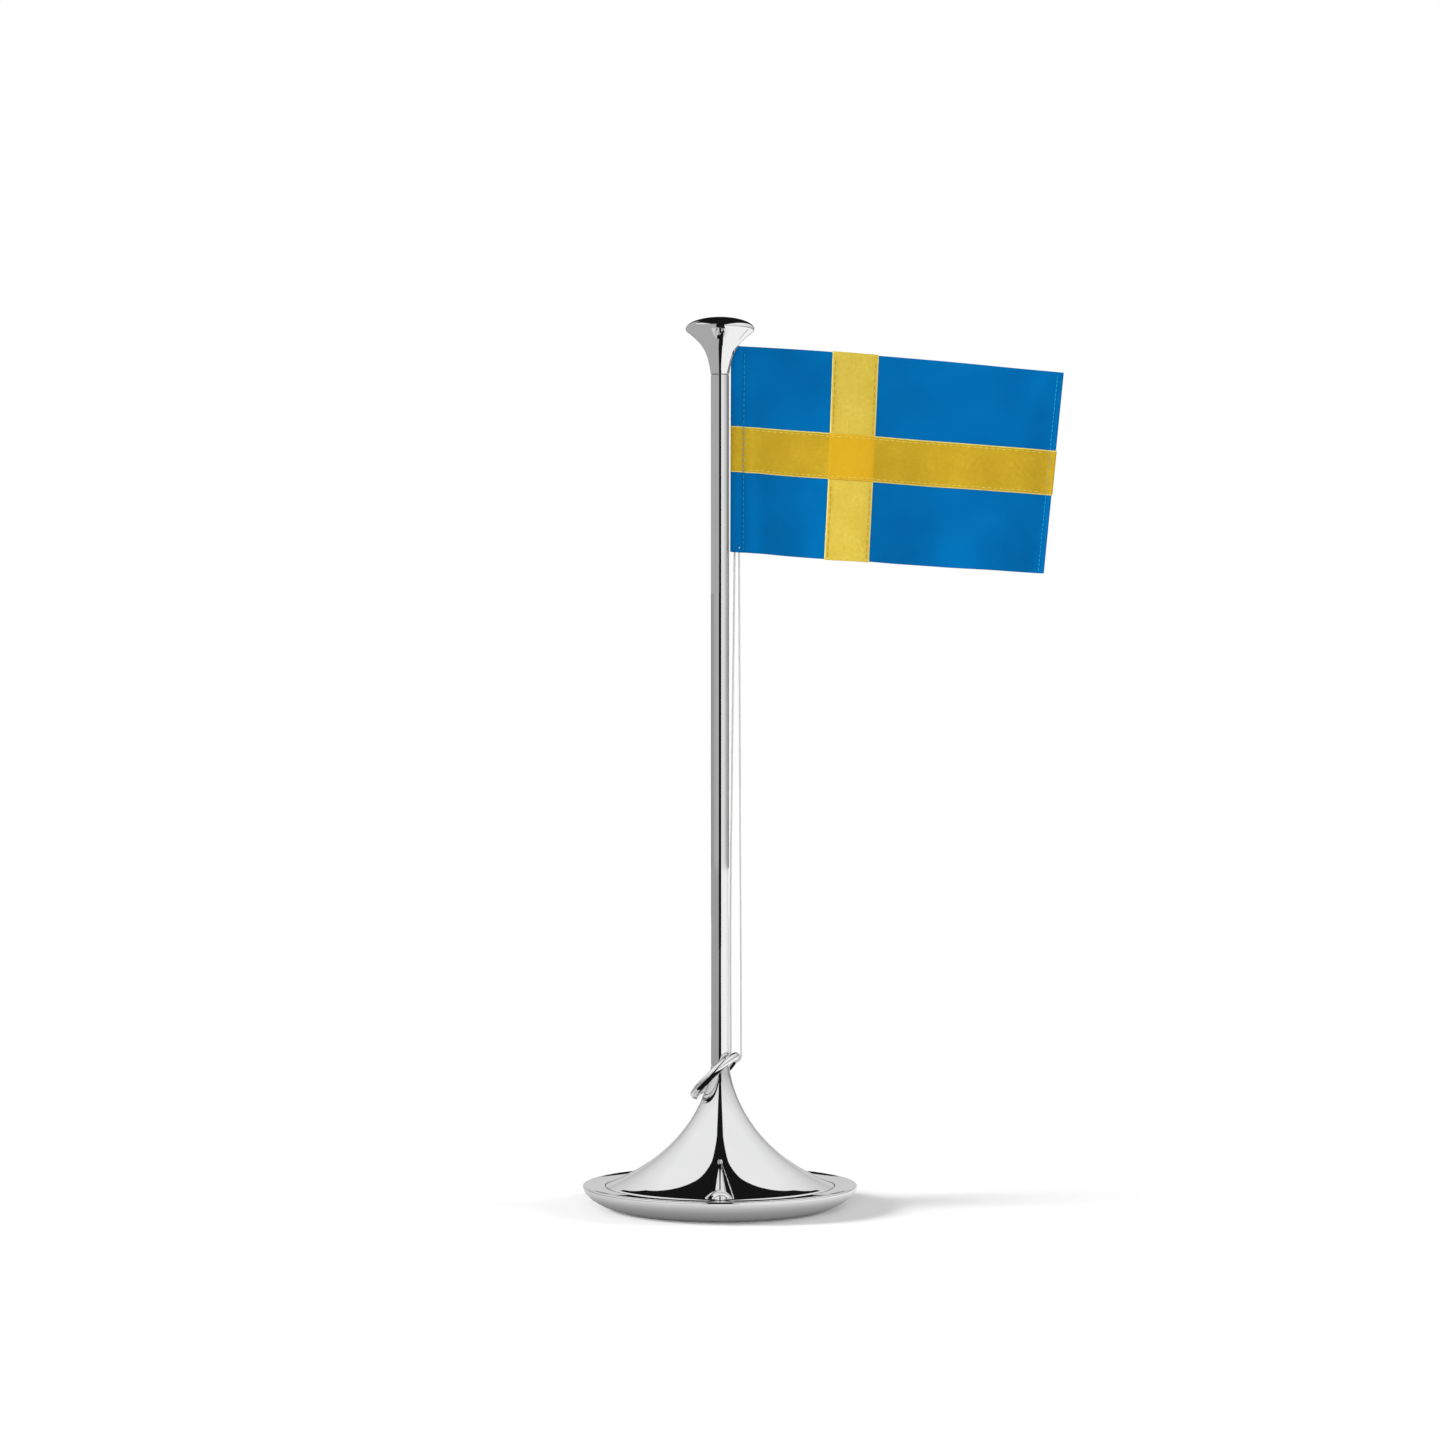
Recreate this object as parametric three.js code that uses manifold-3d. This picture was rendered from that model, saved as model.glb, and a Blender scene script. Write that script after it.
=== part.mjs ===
// Desk flag stand: a weighted trumpet base, a slim pole with a flared finial, an endless halyard
// held taut by a loose ring, and a small flag of cloth with sewn-on ribbons.
// Millimetres, +Z up. The origin is the centre of the underside, the flag flies towards +X.
import * as THREE from 'three';
import { mergeVertices } from 'three/addons/utils/BufferGeometryUtils.js';
import Module from 'manifold-3d';

// ---------------------------------------------------------------- driving dimensions

const TOTAL_HEIGHT = 390;
const GAP = 0.3;                 // clearance between neighbouring pieces
const SHEET = 1.2;               // wall of the spun steel shells

const BASE_RADIUS = 60;
const RIM_HEIGHT = 10.4;
const CREASE_RADIUS = 50;        // where the flare meets the dish
const CREASE_HEIGHT = 10.05;
const FOOT_RADIUS = 43.5;        // flat underside of the dish
const FELT_RADIUS = 42;
const FELT_THICKNESS = 1.2;
const POCKET_RADIUS = 7.5;       // pressed pocket that hides the nut
const POCKET_ROOF = 6.5;

const POLE_RADIUS = 4;
const POLE_BORE = 3;
const POLE_BOTTOM = 62;
const POLE_TOP = 365;

const THREAD_RADIUS = 1.5;       // M3 rod and stud
const PLUG_RADIUS = POLE_BORE - GAP;
const PLUG_BORE = THREAD_RADIUS + GAP;
const SPIGOT_BOTTOM = 54;

const FINIAL_RADIUS = 15.05;
const DOME_HEIGHT = 5.2;

const CORD_RADIUS = 0.45;
const CORD_TOP = new THREE.Vector3(8, 0, 378);       // outer run at the finial
const CORD_BOTTOM = new THREE.Vector3(9.3, 0, 68);   // outer run at the ring
const RETURN_TOP = new THREE.Vector3(7.1, 4.3, 378); // inner run at the finial
const PASSAGE_RADIUS = 0.95;
const KNOT_RADIUS = 1.25;
const KNOT_HALF_HEIGHT = 0.8;

const RING_MEAN_RADIUS = 12.3;
const RING_THIN_WIRE = 1.6;      // wire radius where the cord holds it
const RING_THICK_WIRE = 2;       // wire radius on the far side
const RING_TILT = 43.5;          // degrees, far side down
const RING_ROLL = 11;            // degrees, front side up
const RING_HANG = new THREE.Vector3(7, 0, 66.3);     // wire centre inside the cord's loop

const FLAG_LENGTH = 144;
const FLAG_HEIGHT = 90;
const RIBBON_WIDTH = 20;
const RIBBON_THICKNESS = 0.3;
const VERTICAL_RIBBON_AT = 54;   // centre line, from the hoist
const CLOTH_THICKNESS = 0.5;
const SLEEVE_LENGTH = 5.5;
const SLEEVE_THICKNESS = 2.7;
const SLEEVE_WALL = 0.4;
const SLEEVE_BOTTOM = 290;
const SLEEVE_TOP = 372.6;
// Corners of the hanging cloth in the XZ plane: it sags towards the fly.
const HOIST_TOP = new THREE.Vector2(5.2, 377.4);
const HOIST_BOTTOM = new THREE.Vector2(4.9, 287.3);
const FLY_TOP = new THREE.Vector2(150.6, 365.8);
const FLY_BOTTOM = new THREE.Vector2(141.8, 277.8);

// ---------------------------------------------------------------- materials

function finish(color, roughness, metalness) {
  return new THREE.MeshStandardMaterial({ color, roughness, metalness });
}

const mirrorSteel = () => finish(0xc9cbcd, 0.04, 1);
const plainSteel = () => finish(0x9a9c9f, 0.35, 1);
const castIron = () => finish(0x3b3c3e, 0.7, 0.8);
const felt = () => finish(0x1d1e20, 0.95, 0);
const whiteCord = () => finish(0xf1f0ec, 0.85, 0);
const blueCloth = () => finish(0x006aa8, 0.8, 0);
const yellowRibbon = () => finish(0xd6b343, 0.55, 0);

// ---------------------------------------------------------------- solids

const wasm = await Module();
wasm.setup();

function signedVolume(position, triangles) {
  const [a, b, c] = [new THREE.Vector3(), new THREE.Vector3(), new THREE.Vector3()];
  let volume = 0;
  for (let i = 0; i < triangles.length; i += 3) {
    a.fromBufferAttribute(position, triangles[i]);
    b.fromBufferAttribute(position, triangles[i + 1]);
    c.fromBufferAttribute(position, triangles[i + 2]);
    volume += a.dot(b.cross(c)) / 6;
  }
  return volume;
}

// Welds a closed surface into one skin without empty triangles, facing outwards.
function closedSkin(geometry) {
  const bare = new THREE.BufferGeometry();
  bare.setAttribute('position', geometry.getAttribute('position'));
  if (geometry.index) bare.setIndex(geometry.index);
  const welded = mergeVertices(bare, 1e-4);
  const source = welded.index.array;
  const triangles = [];
  for (let i = 0; i < source.length; i += 3) {
    const [a, b, c] = [source[i], source[i + 1], source[i + 2]];
    if (a !== b && b !== c && c !== a) triangles.push(a, b, c);
  }
  if (signedVolume(welded.getAttribute('position'), triangles) < 0) triangles.reverse();
  welded.setIndex(triangles);
  return welded;
}

function toManifold(geometry) {
  const skin = closedSkin(geometry);
  const vertProperties = new Float32Array(skin.getAttribute('position').array);
  const triVerts = new Uint32Array(skin.index.array);
  return new wasm.Manifold(new wasm.Mesh({ numProp: 3, vertProperties, triVerts }));
}

function subtract(geometry, ...cutters) {
  let solid = toManifold(geometry);
  for (const cutter of cutters) solid = solid.subtract(toManifold(cutter));
  const mesh = solid.getMesh();
  const result = new THREE.BufferGeometry();
  result.setAttribute('position', new THREE.BufferAttribute(mesh.vertProperties, 3));
  result.setIndex(new THREE.BufferAttribute(mesh.triVerts, 1));
  return result;
}

// Turns a profile of [radius, height] points round the Z axis.
function turned(profile, segments) {
  const points = profile.map(([radius, height]) => new THREE.Vector2(radius, height));
  return new THREE.LatheGeometry(points, segments).rotateX(Math.PI / 2);
}

// Turned piece with a through bore: the profile closes on itself.
function turnedRing(profile, segments) {
  return turned([...profile, profile[0]], segments);
}

function hollowCylinder(outer, inner, bottom, top, segments) {
  return turnedRing([[inner, bottom], [outer, bottom], [outer, top], [inner, top]], segments);
}

function bezier(start, startHandle, endHandle, end, steps) {
  const curve = new THREE.CubicBezierCurve(...[start, startHandle, endHandle, end].map(
    ([radius, height]) => new THREE.Vector2(radius, height)));
  return curve.getPoints(steps).map((point) => [point.x, point.y]);
}

// Moves a profile sideways by a distance, to the right of its direction of travel.
function offsetProfile(profile, distance) {
  return profile.map(([radius, height], i) => {
    const before = profile[Math.max(i - 1, 0)];
    const after = profile[Math.min(i + 1, profile.length - 1)];
    const along = new THREE.Vector2(after[0] - before[0], after[1] - before[1]).normalize();
    return [radius + along.y * distance, height - along.x * distance];
  });
}

// A curve whose steps fall on its own points, close together only where they are close together.
class HandSpacedCurve extends THREE.CatmullRomCurve3 {
  getPointAt(u, target) {
    return this.getPoint(u, target);
  }

  getTangentAt(u, target) {
    return this.getTangent(u, target);
  }
}

function roundSection(radius, sides) {
  const outline = Array.from({ length: sides }, (_, i) => {
    const angle = (2 * Math.PI * i) / sides;
    return new THREE.Vector2(radius * Math.cos(angle), radius * Math.sin(angle));
  });
  return new THREE.Shape(outline);
}

function tube(points, radius, stepsPerPoint) {
  const extrudePath = new HandSpacedCurve(points, false, 'centripetal');
  const steps = (points.length - 1) * stepsPerPoint;
  return new THREE.ExtrudeGeometry(roundSection(radius, 8), { extrudePath, steps });
}

// ---------------------------------------------------------------- base

// Outside of the flare, from the pole down to the crease.
const FLARE = bezier(
  [POLE_RADIUS + 0.1, POLE_BOTTOM], [7, 40.6], [22.6, 20.4], [CREASE_RADIUS, CREASE_HEIGHT], 12);

function insideFlare(depth, smallestRadius) {
  return offsetProfile(FLARE, depth).filter(([radius]) => radius > smallestRadius);
}

function baseTrumpet() {
  const neckBottom = 56;
  const inside = insideFlare(SHEET, POLE_BORE).filter(([, height]) => height < neckBottom - 1);
  return turnedRing([
    ...FLARE,
    ...inside.reverse(),
    [POLE_BORE, neckBottom],
    [POLE_BORE, POLE_BOTTOM],
  ], 48);
}

function baseDish() {
  const floor = FELT_THICKNESS + GAP;
  const bowl = bezier([FOOT_RADIUS, GAP], [50.5, GAP], [BASE_RADIUS, 5.5], [BASE_RADIUS, 9.9], 8);
  const lipInside = CREASE_RADIUS + GAP;
  return turnedRing([
    [PLUG_BORE, POCKET_ROOF],
    [POCKET_RADIUS, POCKET_ROOF],
    [POCKET_RADIUS + 0.6, floor],
    [FELT_RADIUS + GAP, floor],
    [FELT_RADIUS + GAP, GAP],
    ...bowl,
    [BASE_RADIUS - 0.15, RIM_HEIGHT - 0.1],
    [BASE_RADIUS - 0.5, RIM_HEIGHT],
    [lipInside, CREASE_HEIGHT],
    [lipInside, CREASE_HEIGHT - SHEET],
    [57.4, 8.9],
    [56.2, 6.4],
    [52.5, 3.6],
    [47, floor + SHEET],
    [POCKET_RADIUS + 1.8, floor + SHEET],
    [POCKET_RADIUS + 1.2, POCKET_ROOF + SHEET],
    [PLUG_BORE, POCKET_ROOF + SHEET],
  ], 48);
}

function ballastWeight() {
  const bottom = FELT_THICKNESS + SHEET + 2 * GAP;
  const top = 44;
  const outside = insideFlare(SHEET + 0.7, PLUG_BORE + 1).filter(([, height]) => height < top);
  const recess = POCKET_RADIUS + 2.2;
  return turnedRing([
    ...outside,
    [44, bottom],
    [recess, bottom],
    [recess, POCKET_ROOF + SHEET + GAP],
    [PLUG_BORE, POCKET_ROOF + SHEET + GAP],
    [PLUG_BORE, outside[0][1]],
  ], 36);
}

function feltPad() {
  return turned([[0, 0], [FELT_RADIUS, 0], [FELT_RADIUS, FELT_THICKNESS], [0, FELT_THICKNESS]], 48);
}

// ---------------------------------------------------------------- the clamp in the pocket

const WASHER_TOP = POCKET_ROOF - GAP;
const WASHER_BOTTOM = WASHER_TOP - 0.8;
const SPRING_TOP = WASHER_BOTTOM - GAP;
const SPRING_BOTTOM = SPRING_TOP - 1;
const NUT_TOP = SPRING_BOTTOM - GAP;
const NUT_BOTTOM = FELT_THICKNESS + GAP;

function flatWasher() {
  return hollowCylinder(4.5, PLUG_BORE, WASHER_BOTTOM, WASHER_TOP, 24);
}

// A split ring, open over a narrow slot.
function springWasher() {
  const halfSlot = 0.12;
  const outline = new THREE.Shape();
  outline.absarc(0, 0, 3.2, halfSlot, 2 * Math.PI - halfSlot, false);
  outline.absarc(0, 0, PLUG_BORE, 2 * Math.PI - halfSlot, halfSlot, true);
  const settings = { depth: SPRING_TOP - SPRING_BOTTOM, bevelEnabled: false, curveSegments: 12 };
  return new THREE.ExtrudeGeometry(outline, settings).translate(0, 0, SPRING_BOTTOM);
}

function clampNut() {
  const acrossFlats = 5.5;
  const outline = roundSection(acrossFlats / Math.sqrt(3), 6);
  outline.holes.push(new THREE.Path().absarc(0, 0, PLUG_BORE, 0, 2 * Math.PI, true));
  const settings = { depth: NUT_TOP - NUT_BOTTOM, bevelEnabled: false, curveSegments: 10 };
  return new THREE.ExtrudeGeometry(outline, settings).translate(0, 0, NUT_BOTTOM);
}

function threadedRod(bottom, top) {
  const length = top - bottom;
  return new THREE.CylinderGeometry(THREAD_RADIUS, THREAD_RADIUS, length, 16)
    .rotateX(Math.PI / 2)
    .translate(0, 0, bottom + length / 2);
}

// ---------------------------------------------------------------- pole

function poleTube() {
  return hollowCylinder(POLE_RADIUS, POLE_BORE, POLE_BOTTOM + GAP, POLE_TOP - GAP, 32);
}

// A plug with a blind thread that opens downwards.
function plugOpenBelow(bottom, top) {
  const thread = top - 3;
  return turned([
    [0, thread], [PLUG_BORE, thread], [PLUG_BORE, bottom],
    [PLUG_RADIUS, bottom], [PLUG_RADIUS, top], [0, top],
  ], 24);
}

// A plug with a blind thread that opens upwards.
function plugOpenAbove(bottom, top) {
  const thread = bottom + 2;
  return turned([
    [0, bottom], [PLUG_RADIUS, bottom], [PLUG_RADIUS, top],
    [PLUG_BORE, top], [PLUG_BORE, thread], [0, thread],
  ], 24);
}

// ---------------------------------------------------------------- finial and cord

const ARCH_LEGS_TOP = 379.9;

// The cord's arch inside the finial: 0 is the outer leg, 180 the inner leg.
function archPoint(degrees) {
  const angle = THREE.MathUtils.degToRad(degrees);
  const middle = CORD_TOP.clone().add(RETURN_TOP).multiplyScalar(0.5);
  const point = middle.clone().lerp(CORD_TOP, Math.cos(angle));
  point.z = ARCH_LEGS_TOP + CORD_TOP.distanceTo(RETURN_TOP) / 2 * Math.sin(angle);
  return point;
}

function outerRun(height) {
  const share = (CORD_TOP.z - height) / (CORD_TOP.z - CORD_BOTTOM.z);
  return new THREE.Vector3().lerpVectors(CORD_TOP, CORD_BOTTOM, share);
}

// The cord's turn under the ring's wire: 0 is the outer side, 180 the inner side.
function loopPoint(degrees) {
  const angle = THREE.MathUtils.degToRad(degrees);
  const reach = CORD_BOTTOM.x - RING_HANG.x;
  return new THREE.Vector3(
    RING_HANG.x + reach * Math.cos(angle), 0, RING_HANG.z - reach * Math.sin(angle));
}

function halyardRoute() {
  return [
    ...[84, 60, 30].map(archPoint),
    ...[ARCH_LEGS_TOP, 376, 372, 340, 300, 250, 200, 150, 100, 75, 70].map(outerRun),
    ...[0, 36, 72, 108, 144, 180].map(loopPoint),
    new THREE.Vector3(4.7, 0.3, 70),
    new THREE.Vector3(4.7, 1.2, 80),
    new THREE.Vector3(4.65, 2.5, 100),
    new THREE.Vector3(4.7, 3.4, 135),
    new THREE.Vector3(5.4, 3.9, 200),
    new THREE.Vector3(6.4, 4.2, 284),
    new THREE.Vector3(6.9, 4.3, 350),
    new THREE.Vector3(RETURN_TOP.x, RETURN_TOP.y, 372),
    new THREE.Vector3(RETURN_TOP.x, RETURN_TOP.y, 376),
    ...[180, 150, 120, 96].map(archPoint),
  ];
}

function halyard() {
  return tube(halyardRoute(), CORD_RADIUS, 2);
}

function finial() {
  const threadTop = 373.5;
  const flare = bezier([POLE_RADIUS + 0.05, POLE_TOP], [5.4, 374.6], [6.9, 378], [14.6, 383.8], 9);
  const domeFoot = TOTAL_HEIGHT - DOME_HEIGHT;
  const dome = [0.2, 0.45, 0.7, 1, 1.3].map((angle) => [
    FINIAL_RADIUS * Math.cos(angle), domeFoot + DOME_HEIGHT * Math.sin(angle)]);
  const body = turned([
    [0, threadTop],
    [PLUG_BORE, threadTop],
    [PLUG_BORE, POLE_TOP],
    ...flare,
    [FINIAL_RADIUS, domeFoot],
    ...dome,
    [0, TOTAL_HEIGHT],
  ], 36);
  const belowFlare = 372;
  const passage = tube([
    new THREE.Vector3(CORD_TOP.x, CORD_TOP.y, belowFlare),
    ...[0, 30, 60, 90, 120, 150, 180].map(archPoint),
    new THREE.Vector3(RETURN_TOP.x, RETURN_TOP.y, belowFlare),
  ], PASSAGE_RADIUS, 1);
  return subtract(body, passage);
}

function stopKnot(height) {
  const bore = CORD_RADIUS + GAP;
  const bulge = [-60, -25, 25, 60].map((degrees) => {
    const angle = THREE.MathUtils.degToRad(degrees);
    return [KNOT_RADIUS * Math.cos(angle) + 0.3, KNOT_HALF_HEIGHT * Math.sin(angle)];
  });
  const profile = [[bore, -KNOT_HALF_HEIGHT], ...bulge, [bore, KNOT_HALF_HEIGHT]];
  const place = outerRun(height);
  return turnedRing(profile, 16).translate(place.x, place.y, place.z);
}

// ---------------------------------------------------------------- ring

// A torus whose wire thickens from the side that the cord holds to the far side.
function ringGeometry() {
  const middle = (RING_THICK_WIRE + RING_THIN_WIRE) / 2;
  const taper = (RING_THICK_WIRE - RING_THIN_WIRE) / 2;
  const geometry = new THREE.TorusGeometry(RING_MEAN_RADIUS, middle, 12, 40);
  const position = geometry.getAttribute('position');
  for (let i = 0; i < position.count; i += 1) {
    const angle = Math.atan2(position.getY(i), position.getX(i));
    const scale = (middle - taper * Math.cos(angle)) / middle;
    const centre = new THREE.Vector3(Math.cos(angle), Math.sin(angle), 0);
    centre.multiplyScalar(RING_MEAN_RADIUS);
    const point = new THREE.Vector3().fromBufferAttribute(position, i);
    point.sub(centre).multiplyScalar(scale).add(centre);
    position.setXYZ(i, point.x, point.y, point.z);
  }
  return geometry;
}

function placeRing(mesh) {
  const tilt = THREE.MathUtils.degToRad(RING_TILT);
  const roll = THREE.MathUtils.degToRad(RING_ROLL);
  const towardsCord = new THREE.Vector3(Math.cos(tilt), 0, Math.sin(tilt));
  const upwards = new THREE.Vector3(-Math.sin(tilt), 0, Math.cos(tilt));
  const backwards = new THREE.Vector3(0, Math.cos(roll), 0).addScaledVector(upwards, -Math.sin(roll));
  const normal = towardsCord.clone().cross(backwards);
  const turn = new THREE.Matrix4().makeBasis(towardsCord, backwards, normal);
  mesh.quaternion.setFromRotationMatrix(turn);
  mesh.position.copy(RING_HANG).addScaledVector(towardsCord, -RING_MEAN_RADIUS);
}

// ---------------------------------------------------------------- flag

// Maps cloth coordinates (from the hoist, up from the foot) to the hanging flag.
function hang(along, up) {
  const hoist = HOIST_BOTTOM.clone().lerp(HOIST_TOP, up / FLAG_HEIGHT);
  const fly = FLY_BOTTOM.clone().lerp(FLY_TOP, up / FLAG_HEIGHT);
  return hoist.lerp(fly, along / FLAG_LENGTH);
}

// Hangs a geometry whose X runs along the cloth, Y through it and Z up it.
function hung(geometry) {
  const position = geometry.getAttribute('position');
  for (let i = 0; i < position.count; i += 1) {
    const place = hang(position.getX(i), position.getZ(i));
    position.setXYZ(i, place.x, position.getY(i), place.y);
  }
  return geometry;
}

function block(x0, x1, y0, y1, z0, z1) {
  return new THREE.BoxGeometry(x1 - x0, y1 - y0, z1 - z0)
    .translate((x0 + x1) / 2, (y0 + y1) / 2, (z0 + z1) / 2);
}

// Cloth and sleeve in one, seen along the hoist: a flat tail on a hollow ellipse.
function flagField() {
  const middle = SLEEVE_LENGTH / 2;
  const halfCloth = CLOTH_THICKNESS / 2;
  const joint = Math.asin(halfCloth / (SLEEVE_THICKNESS / 2));
  const outline = new THREE.Shape();
  outline.moveTo(FLAG_LENGTH, -halfCloth);
  outline.lineTo(FLAG_LENGTH, halfCloth);
  outline.absellipse(middle, 0, middle, SLEEVE_THICKNESS / 2, joint, 2 * Math.PI - joint, false);
  const channel = new THREE.Path();
  channel.absellipse(
    middle, 0, middle - SLEEVE_WALL, SLEEVE_THICKNESS / 2 - SLEEVE_WALL, 0, 2 * Math.PI, true);
  outline.holes.push(channel);
  const settings = { depth: FLAG_HEIGHT, bevelEnabled: false, curveSegments: 20 };
  const cloth = hung(new THREE.ExtrudeGeometry(outline, settings));
  const reach = SLEEVE_THICKNESS;
  const sleeveEnd = 10.9;
  const aboveSleeve = block(0, sleeveEnd, -reach, reach, SLEEVE_TOP, SLEEVE_TOP + 10);
  const belowSleeve = block(0, sleeveEnd, -reach, reach, SLEEVE_BOTTOM - 10, SLEEVE_BOTTOM);
  const besideFinial = block(-8, 0, -reach, reach, -4, 4)
    .rotateY(THREE.MathUtils.degToRad(25))
    .translate(6.4, 0, SLEEVE_TOP);
  return subtract(cloth, aboveSleeve, belowSleeve, besideFinial);
}

// A flat strip on one face of the cloth: side is -1 for the front, +1 for the back.
function ribbon(side, layer, along0, along1, up0, up1) {
  const near = CLOTH_THICKNESS / 2 + GAP + layer * (RIBBON_THICKNESS + GAP);
  const far = near + RIBBON_THICKNESS;
  const [y0, y1] = side < 0 ? [-far, -near] : [near, far];
  return hung(block(along0, along1, y0, y1, up0, up1));
}

function verticalRibbon(side) {
  const half = RIBBON_WIDTH / 2;
  return ribbon(side, 0, VERTICAL_RIBBON_AT - half, VERTICAL_RIBBON_AT + half, 0, FLAG_HEIGHT);
}

function horizontalRibbon(side) {
  const middle = FLAG_HEIGHT / 2;
  const half = RIBBON_WIDTH / 2;
  return ribbon(side, 1, SLEEVE_LENGTH + 0.5, FLAG_LENGTH, middle - half, middle + half);
}

// ---------------------------------------------------------------- assembly

const stand = new THREE.Group();

function add(name, geometry, material) {
  const mesh = new THREE.Mesh(closedSkin(geometry), material);
  mesh.name = name;
  stand.add(mesh);
  return mesh;
}

add('base_trumpet', baseTrumpet(), mirrorSteel());
add('base_dish', baseDish(), mirrorSteel());
add('ballast_weight', ballastWeight(), castIron());
add('felt_pad', feltPad(), felt());
add('flat_washer', flatWasher(), plainSteel());
add('spring_washer', springWasher(), plainSteel());
add('clamp_nut', clampNut(), plainSteel());
add('tie_rod', threadedRod(NUT_BOTTOM, 73.5), plainSteel());

add('pole_tube', poleTube(), mirrorSteel());
add('pole_foot_plug', plugOpenBelow(SPIGOT_BOTTOM, 78), plainSteel());
add('pole_head_plug', plugOpenAbove(348, POLE_TOP - GAP), plainSteel());
add('finial_stud', threadedRod(351, 372), plainSteel());
add('finial', finial(), mirrorSteel());

add('halyard', halyard(), whiteCord());
placeRing(add('tension_ring', ringGeometry(), mirrorSteel()));

add('upper_stop_knot', stopKnot(SLEEVE_TOP + GAP + KNOT_HALF_HEIGHT), whiteCord());
add('lower_stop_knot', stopKnot(SLEEVE_BOTTOM - GAP - KNOT_HALF_HEIGHT), whiteCord());

add('flag_field', flagField(), blueCloth());
add('ribbon_vertical_front', verticalRibbon(-1), yellowRibbon());
add('ribbon_vertical_back', verticalRibbon(1), yellowRibbon());
add('ribbon_horizontal_front', horizontalRibbon(-1), yellowRibbon());
add('ribbon_horizontal_back', horizontalRibbon(1), yellowRibbon());

export default stand;
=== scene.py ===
"""Looks of the desk flag stand: mirror steel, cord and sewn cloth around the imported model, in metres."""
import math

import bpy
import numpy as np
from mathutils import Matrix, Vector, noise


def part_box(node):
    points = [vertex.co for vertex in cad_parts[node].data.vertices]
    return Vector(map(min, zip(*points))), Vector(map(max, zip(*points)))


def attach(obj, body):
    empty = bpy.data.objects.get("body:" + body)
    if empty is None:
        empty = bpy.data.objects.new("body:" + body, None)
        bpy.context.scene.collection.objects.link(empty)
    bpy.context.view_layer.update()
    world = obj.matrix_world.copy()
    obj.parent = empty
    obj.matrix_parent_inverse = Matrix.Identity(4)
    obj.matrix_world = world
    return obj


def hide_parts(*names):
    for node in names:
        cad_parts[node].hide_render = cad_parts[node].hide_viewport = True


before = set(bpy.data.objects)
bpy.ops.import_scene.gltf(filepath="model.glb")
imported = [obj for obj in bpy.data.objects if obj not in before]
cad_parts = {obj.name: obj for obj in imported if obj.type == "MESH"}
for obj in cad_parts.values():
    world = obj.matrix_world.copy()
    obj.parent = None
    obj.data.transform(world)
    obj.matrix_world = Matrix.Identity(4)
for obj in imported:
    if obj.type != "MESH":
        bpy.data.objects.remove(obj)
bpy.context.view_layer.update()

MM = 0.001


# -------- camera

EYE_HEIGHT = 213.6 * MM      # level camera, a little above half the stand's height
EYE_DISTANCE = 1.53          # from the pole's axis, in metres
LENS_MM = 87.3

camera_data = bpy.data.cameras.new("camera")
camera_data.lens = LENS_MM
camera_data.sensor_width = 36
camera_data.clip_end = 50
camera = bpy.data.objects.new("camera", camera_data)
camera.location = (0, -EYE_DISTANCE, EYE_HEIGHT)
camera.rotation_euler = (math.pi / 2, 0, 0)
bpy.context.scene.collection.objects.link(camera)
bpy.context.scene.camera = camera


# -------- mesh helpers

def bare_object(name, vertices, faces, material=None):
    mesh = bpy.data.meshes.new(name)
    mesh.from_pydata([tuple(v) for v in vertices], [], faces)
    if material:
        mesh.materials.append(material)
    piece = bpy.data.objects.new(name, mesh)
    bpy.context.scene.collection.objects.link(piece)
    return piece


def new_piece(name, vertices, faces, material, body, slot, sharp_degrees=None):
    """A smooth-shaded mesh with the given material, riding on a body. slot is not used."""
    piece = bare_object(name, vertices, faces, material)
    mesh = piece.data
    mesh.validate()
    mesh.polygons.foreach_set("use_smooth", [True] * len(mesh.polygons))
    if sharp_degrees:
        mesh.set_sharp_from_angle(angle=math.radians(sharp_degrees))
    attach(piece, body)
    return piece


def bezier(start, start_handle, end_handle, end, steps):
    """Points of a cubic curve in the (radius, height) plane."""
    a, b, c, d = (np.array(p, float) for p in (start, start_handle, end_handle, end))
    t = np.linspace(0, 1, steps + 1)[:, None]
    curve = (1 - t) ** 3 * a + 3 * (1 - t) ** 2 * t * b + 3 * (1 - t) * t * t * c + t ** 3 * d
    return [tuple(p) for p in curve]


def arc(centre, radii, start_degrees, end_degrees, steps):
    """Points of an elliptical arc in the (radius, height) plane."""
    angles = np.radians(np.linspace(start_degrees, end_degrees, steps + 1))
    return [(centre[0] + radii[0] * math.cos(a), centre[1] + radii[1] * math.sin(a)) for a in angles]


def grid_faces(columns, rows):
    """Faces of a grid whose points are listed column by column."""
    return [[i * rows + j, (i + 1) * rows + j, (i + 1) * rows + j + 1, i * rows + j + 1]
            for i in range(columns - 1) for j in range(rows - 1)]


def lathe_mesh(profile_mm, segments):
    """Vertices and faces of a turned solid. The profile ends on the axis, or closes on itself."""
    profile = [(r * MM, z * MM) for r, z in profile_mm]
    closes = profile[0][0] > 1e-9 or profile[-1][0] > 1e-9
    angles = np.linspace(0, 2 * math.pi, segments, endpoint=False)
    vertices, rows = [], []
    for radius, height in profile:
        if radius < 1e-9:
            rows.append([len(vertices)] * segments)
            vertices.append((0.0, 0.0, height))
            continue
        rows.append(list(range(len(vertices), len(vertices) + segments)))
        vertices += [(radius * math.cos(a), radius * math.sin(a), height) for a in angles]
    pairs = list(zip(rows, rows[1:] + rows[:1])) if closes else list(zip(rows, rows[1:]))
    faces = []
    for lower, upper in pairs:
        for i in range(segments):
            j = (i + 1) % segments
            corners = [lower[i], lower[j], upper[j], upper[i]]
            face = [c for k, c in enumerate(corners) if c != corners[k - 1]]
            if len(face) > 2:
                faces.append(face)
    return vertices, faces


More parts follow.
